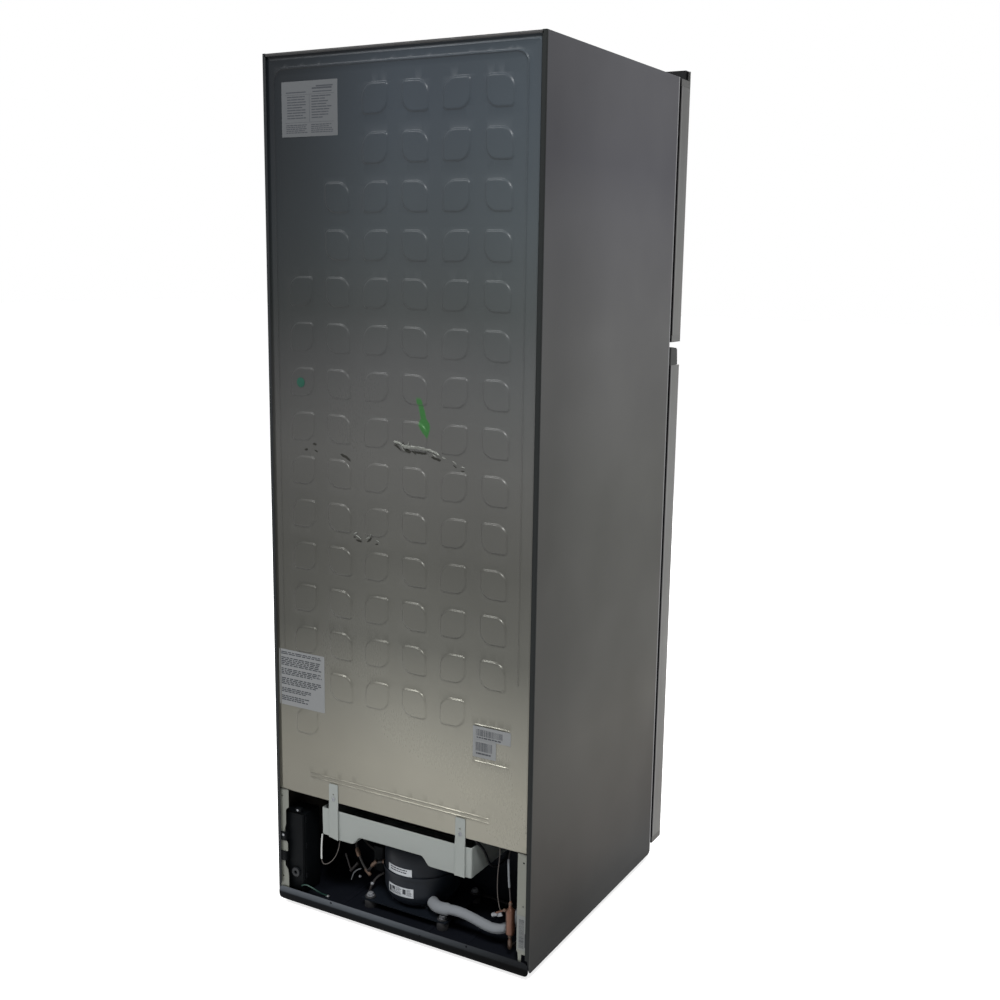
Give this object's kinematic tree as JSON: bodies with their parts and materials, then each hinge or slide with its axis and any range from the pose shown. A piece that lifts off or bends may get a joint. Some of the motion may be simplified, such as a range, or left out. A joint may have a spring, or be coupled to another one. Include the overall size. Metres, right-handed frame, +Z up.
{
  "type": "top freezer refrigerator",
  "caption": "Free-standing refrigerator with a freezer on top, two hinged doors, embossed rear panel and an open machine bay with compressor and drip pan.",
  "frame": {"origin": "centre of the footprint on the floor, below the middle of the whole object, doors closed", "axes": "+Z up, -Y out of the doors, +X to the right seen from the front, the side with the hinges"},
  "size_m": [0.6, 0.65, 1.733],
  "materials": {
    "side_steel": "satin",
    "door_steel": "satin brushed look",
    "black_steel": "satin",
    "rear_steel": "satin galvanised",
    "galvanised": "matt",
    "zinc_steel": "satin",
    "foam": "matt",
    "white_liner": "gloss",
    "dark_plastic": "matt",
    "grip_plastic": "satin",
    "black_plastic": "matt",
    "black_rubber": "matt",
    "gasket_rubber": "matt",
    "bare_aluminium": "satin",
    "copper": "satin, slightly oxidised",
    "dark_pipe": "satin",
    "compressor_black": "gloss",
    "sleeve_foam": "matt",
    "pan_plastic": "satin",
    "grey_hose": "satin",
    "wire_black": "satin",
    "paper": "matt",
    "clear_plastic": "gloss, clear",
    "shelf_glass": "polished",
    "fan_plastic": "matt",
    "tray_plastic": "satin"
  },
  "bodies": {
    "cabinet": {"side_panel_left": "side_steel", "side_panel_right": "side_steel", "top_panel": "black_steel", "back_panel": "rear_steel", "front_frame": "side_steel", "base_frame": "black_steel", "kick_plate": "dark_plastic", "bay_liner": "black_steel", "insulation": "foam", "freezer_liner": "white_liner", "fridge_liner": "white_liner", "condenser_coil": "copper", "evaporator_cover": "white_liner", "evaporator": "bare_aluminium", "fan_motor": "black_plastic", "fridge_duct": "white_liner", "control_box": "white_liner", "glass_shelves": "shelf_glass", "ice_tray_frame": "white_liner", "crisper_cover": "shelf_glass", "top_hinge": "zinc_steel", "hinge_cover": "dark_plastic", "middle_hinge": "zinc_steel", "bottom_hinge": "zinc_steel", "bay_strips": "galvanised", "wiring_covers": "black_plastic", "compressor": "compressor_black", "compressor_feet": "black_rubber", "screws": "zinc_steel", "refrigerant_pipes": "dark_pipe", "pipe_sleeves": "sleeve_foam", "filter_drier": "copper", "pipe_ends": "bare_aluminium", "drip_pan": "pan_plastic", "pan_pipe": "dark_pipe", "drain_hose": "grey_hose", "wire_harness": "wire_black", "cord_gland": "black_plastic", "rear_labels": "paper"},
    "freezer_door": {"freezer_door_skin": "door_steel", "freezer_door_foam": "foam", "freezer_door_liner": "white_liner", "freezer_door_caps": "dark_plastic", "freezer_gasket": "gasket_rubber", "freezer_bins": "clear_plastic"},
    "fridge_door": {"fridge_door_skin": "door_steel", "fridge_door_foam": "foam", "fridge_door_liner": "white_liner", "fridge_door_caps": "grip_plastic", "fridge_gasket": "gasket_rubber", "fridge_bins": "clear_plastic"},
    "crisper_left": {"crisper_left": "clear_plastic"},
    "crisper_right": {"crisper_right": "clear_plastic"},
    "evaporator_fan": {"fan_blade": "fan_plastic"},
    "ice_tray": {"ice_tray": "tray_plastic"},
    "thermostat_knob": {"thermostat_knob": "white_liner"},
    "roller_left": {"roller_left": "black_plastic"},
    "roller_right": {"roller_right": "black_plastic"},
    "foot_left": {"foot_left": "black_plastic"},
    "foot_right": {"foot_right": "black_plastic"}
  },
  "joints": [
    {"name": "freezer_door_hinge", "type": "hinge", "parent": "cabinet", "child": "freezer_door", "pos_m": [0.278, -0.298, 1.44], "axis": [0, 0, 1], "range_deg": [0, 115]},
    {"name": "fridge_door_hinge", "type": "hinge", "parent": "cabinet", "child": "fridge_door", "pos_m": [0.278, -0.298, 0.6], "axis": [0, 0, 1], "range_deg": [0, 115]},
    {"name": "crisper_left_slide", "type": "slide", "parent": "cabinet", "child": "crisper_left", "axis": [0, -1, 0], "range_m": [0, 0.171]},
    {"name": "crisper_right_slide", "type": "slide", "parent": "cabinet", "child": "crisper_right", "axis": [0, -1, 0], "range_m": [0, 0.111]},
    {"name": "evaporator_fan_spin", "type": "hinge", "parent": "cabinet", "child": "evaporator_fan", "pos_m": [0, 0.22, 1.543], "axis": [0, 1, 0], "continuous": true},
    {"name": "ice_tray_twist", "type": "hinge", "parent": "cabinet", "child": "ice_tray", "pos_m": [-0.18271, -0.05, 1.59571], "axis": [0, 1, 0], "range_deg": [0, 120], "stiffness_Nm_per_rad": 0.05},
    {"name": "thermostat_turn", "type": "hinge", "parent": "cabinet", "child": "thermostat_knob", "pos_m": [0.062, -0.125, 1.117], "axis": [0, -1, 0], "range_deg": [0, 270]},
    {"name": "roller_left_spin", "type": "hinge", "parent": "cabinet", "child": "roller_left", "pos_m": [-0.268, 0.285, 0.0095], "axis": [1, 0, 0], "continuous": true},
    {"name": "roller_right_spin", "type": "hinge", "parent": "cabinet", "child": "roller_right", "pos_m": [0.268, 0.285, 0.0095], "axis": [1, 0, 0], "continuous": true},
    {"name": "foot_left_turn", "type": "hinge", "parent": "cabinet", "child": "foot_left", "pos_m": [-0.265, -0.236, 0.01], "axis": [0, 0, 1], "range_deg": [-360, 360]},
    {"name": "foot_right_turn", "type": "hinge", "parent": "cabinet", "child": "foot_right", "pos_m": [0.265, -0.236, 0.01], "axis": [0, 0, 1], "range_deg": [-360, 360]}
  ],
  "couplings": [
    {"joint": "crisper_left_slide", "follows": "fridge_door_hinge", "m_per_rad": 0.085},
    {"joint": "crisper_right_slide", "follows": "fridge_door_hinge", "m_per_rad": 0.055}
  ]
}
